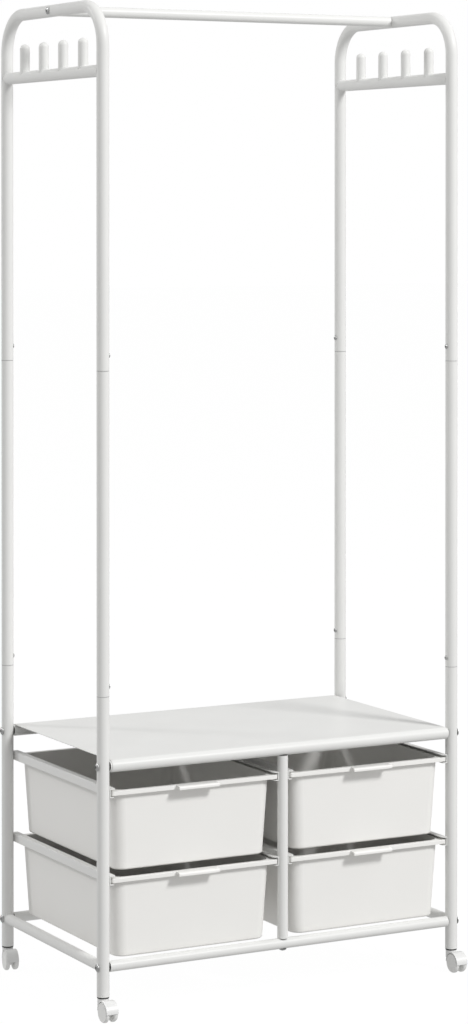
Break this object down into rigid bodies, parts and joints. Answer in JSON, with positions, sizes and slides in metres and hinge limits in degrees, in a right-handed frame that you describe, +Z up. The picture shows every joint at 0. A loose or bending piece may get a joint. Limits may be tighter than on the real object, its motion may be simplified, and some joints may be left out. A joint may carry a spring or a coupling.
{
  "type": "hall stand",
  "caption": "Rolling tubular-steel hall stand with a hanging rail, coat pegs on both side hoops, a sheet shelf and sliding moulded bins below, on swivelling casters.",
  "frame": {"origin": "on the floor, in the middle of the stand's plan", "axes": "+Z up, -Y towards the front with the finger lips, +X to the stand's right as seen from the front"},
  "size_m": [0.7444, 0.4535, 1.763],
  "materials": {
    "frame_paint": "semi-gloss white powder coat",
    "bin_plastic": "satin moulded white",
    "caster_plastic": "gloss moulded white",
    "wheel_plastic": "satin moulded pale grey",
    "black_plastic": "matt black",
    "bright_steel": "zinc plated"
  },
  "bodies": {
    "frame": {"left_hoop": "frame_paint", "left_hook_bar": "frame_paint", "left_coat_pegs": "frame_paint", "left_bottom_bar": "frame_paint", "right_hoop": "frame_paint", "right_hook_bar": "frame_paint", "right_coat_pegs": "frame_paint", "right_bottom_bar": "frame_paint", "top_rail": "frame_paint", "front_bottom_bar": "frame_paint", "shelf_front_tube": "frame_paint", "front_centre_post": "frame_paint", "front_left_middle_post": "frame_paint", "front_left_lower_post": "frame_paint", "front_right_middle_post": "frame_paint", "front_right_lower_post": "frame_paint", "rear_bottom_bar": "frame_paint", "shelf_rear_tube": "frame_paint", "rear_centre_post": "frame_paint", "rear_left_middle_post": "frame_paint", "rear_left_lower_post": "frame_paint", "rear_right_middle_post": "frame_paint", "rear_right_lower_post": "frame_paint", "shelf_panel": "frame_paint", "upper_left_outer_rail": "frame_paint", "upper_left_inner_rail": "frame_paint", "upper_right_outer_rail": "frame_paint", "upper_right_inner_rail": "frame_paint", "lower_left_outer_rail": "frame_paint", "lower_left_inner_rail": "frame_paint", "lower_right_outer_rail": "frame_paint", "lower_right_inner_rail": "frame_paint", "frame_bolts": "bright_steel", "joint_screws": "bright_steel", "threaded_inserts": "black_plastic", "centre_post_plugs": "black_plastic", "caster_sockets": "black_plastic"},
    "upper_left_drawer": {"upper_left_bin": "bin_plastic"},
    "upper_right_drawer": {"upper_right_bin": "bin_plastic"},
    "lower_left_drawer": {"lower_left_bin": "bin_plastic"},
    "lower_right_drawer": {"lower_right_bin": "bin_plastic"},
    "front_left_caster": {"front_left_caster_hood": "caster_plastic", "front_left_caster_stem": "bright_steel"},
    "front_left_caster_wheel_set": {"front_left_caster_axle": "bright_steel", "front_left_caster_wheels": "wheel_plastic"},
    "front_right_caster": {"front_right_caster_hood": "caster_plastic", "front_right_caster_stem": "bright_steel"},
    "front_right_caster_wheel_set": {"front_right_caster_axle": "bright_steel", "front_right_caster_wheels": "wheel_plastic"},
    "rear_left_caster": {"rear_left_caster_hood": "caster_plastic", "rear_left_caster_stem": "bright_steel"},
    "rear_left_caster_wheel_set": {"rear_left_caster_axle": "bright_steel", "rear_left_caster_wheels": "wheel_plastic"},
    "rear_right_caster": {"rear_right_caster_hood": "caster_plastic", "rear_right_caster_stem": "bright_steel"},
    "rear_right_caster_wheel_set": {"rear_right_caster_axle": "bright_steel", "rear_right_caster_wheels": "wheel_plastic"}
  },
  "joints": [
    {"name": "upper_left_bin_slide", "type": "slide", "parent": "frame", "child": "upper_left_drawer", "axis": [0, -1, 0], "range_m": [0, 0.3]},
    {"name": "upper_right_bin_slide", "type": "slide", "parent": "frame", "child": "upper_right_drawer", "axis": [0, -1, 0], "range_m": [0, 0.3]},
    {"name": "lower_left_bin_slide", "type": "slide", "parent": "frame", "child": "lower_left_drawer", "axis": [0, -1, 0], "range_m": [0, 0.3]},
    {"name": "lower_right_bin_slide", "type": "slide", "parent": "frame", "child": "lower_right_drawer", "axis": [0, -1, 0], "range_m": [0, 0.3]},
    {"name": "front_left_caster_swivel", "type": "hinge", "parent": "frame", "child": "front_left_caster", "pos_m": [-0.355, -0.18825, 0.05], "axis": [0, 0, 1], "continuous": true},
    {"name": "front_left_caster_roll", "type": "hinge", "parent": "front_left_caster", "child": "front_left_caster_wheel_set", "pos_m": [-0.355, -0.20725, 0.0175], "axis": [1, 0, 0], "continuous": true},
    {"name": "front_right_caster_swivel", "type": "hinge", "parent": "frame", "child": "front_right_caster", "pos_m": [0.355, -0.18825, 0.05], "axis": [0, 0, 1], "continuous": true},
    {"name": "front_right_caster_roll", "type": "hinge", "parent": "front_right_caster", "child": "front_right_caster_wheel_set", "pos_m": [0.355, -0.20725, 0.0175], "axis": [1, 0, 0], "continuous": true},
    {"name": "rear_left_caster_swivel", "type": "hinge", "parent": "frame", "child": "rear_left_caster", "pos_m": [-0.355, 0.21575, 0.05], "axis": [0, 0, 1], "continuous": true},
    {"name": "rear_left_caster_roll", "type": "hinge", "parent": "rear_left_caster", "child": "rear_left_caster_wheel_set", "pos_m": [-0.35797, 0.19698, 0.0175], "axis": [0.9877, -0.1564, 0], "continuous": true},
    {"name": "rear_right_caster_swivel", "type": "hinge", "parent": "frame", "child": "rear_right_caster", "pos_m": [0.355, 0.21575, 0.05], "axis": [0, 0, 1], "continuous": true},
    {"name": "rear_right_caster_roll", "type": "hinge", "parent": "rear_right_caster", "child": "rear_right_caster_wheel_set", "pos_m": [0.35797, 0.19698, 0.0175], "axis": [0.9877, 0.1564, 0], "continuous": true}
  ]
}
